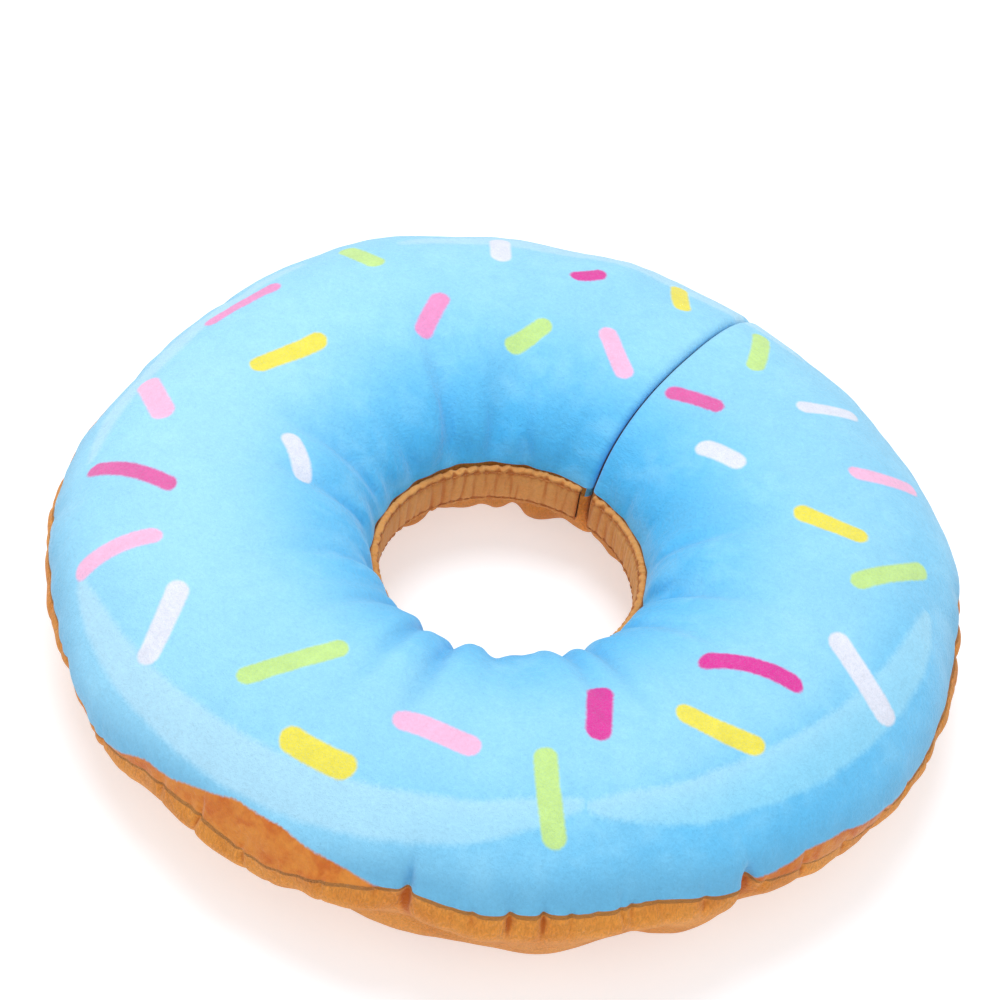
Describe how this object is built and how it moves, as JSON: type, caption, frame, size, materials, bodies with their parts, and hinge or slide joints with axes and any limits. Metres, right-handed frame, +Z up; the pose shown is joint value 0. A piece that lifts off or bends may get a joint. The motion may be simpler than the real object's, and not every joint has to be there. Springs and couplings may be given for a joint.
{
  "type": "elizabethan collar",
  "caption": "Soft stuffed ring collar for a small pet, worn like a doughnut round the neck, opened at the nape by a hook-and-loop flap.",
  "frame": {"origin": "middle of the neck hole, on the surface that the collar lies on", "axes": "+Z up through the neck hole towards the printed face, +Y towards the split at the nape, -Y the front under the chin, +X to the right arm, which carries the flap"},
  "size_m": [0.27, 0.27, 0.062],
  "materials": {
    "icing_plush": "short crystal plush, sky blue, printed with sprinkles",
    "base_plush": "short plush, caramel",
    "fibre_filling": "loose white polyester fibre",
    "casing_cloth": "short plush strip, gathered",
    "woven_elastic": "woven white elastic",
    "closure_cloth": "two layers of short plush, edge stitched",
    "hook_tape": "nylon tape with small stiff hooks",
    "loop_tape": "nylon tape with a brushed loop pile",
    "label_tape": "blank white satin tape"
  },
  "bodies": {
    "front": {"top_panel_front": "icing_plush", "bottom_panel_front": "base_plush", "filling_front": "fibre_filling", "neck_band_front": "casing_cloth", "neck_elastic_front": "woven_elastic"},
    "left_arm": {"top_panel_left": "icing_plush", "bottom_panel_left": "base_plush", "filling_left": "fibre_filling", "neck_band_left": "casing_cloth", "neck_elastic_left": "woven_elastic", "end_gusset_left": "base_plush", "loop_tape": "loop_tape"},
    "right_arm": {"top_panel_right": "icing_plush", "bottom_panel_right": "base_plush", "filling_right": "fibre_filling", "neck_band_right": "casing_cloth", "neck_elastic_right": "woven_elastic", "end_gusset_right": "base_plush", "flap_base": "closure_cloth", "care_label": "label_tape"},
    "flap": {"closure_flap": "closure_cloth", "hook_tape": "hook_tape"}
  },
  "joints": [
    {"name": "left_arm_spread", "type": "hinge", "parent": "front", "child": "left_arm", "pos_m": [-0.135, 0, 0], "axis": [0, 0, 1], "range_deg": [0, 25], "stiffness_Nm_per_rad": 0.3},
    {"name": "right_arm_spread", "type": "hinge", "parent": "front", "child": "right_arm", "pos_m": [0.135, 0, 0], "axis": [0, 0, -1], "range_deg": [0, 25], "stiffness_Nm_per_rad": 0.3},
    {"name": "flap_peel", "type": "hinge", "parent": "right_arm", "child": "flap", "pos_m": [0.0032, 0.085, 0], "axis": [0, -1, 0], "range_deg": [0, 150]}
  ]
}
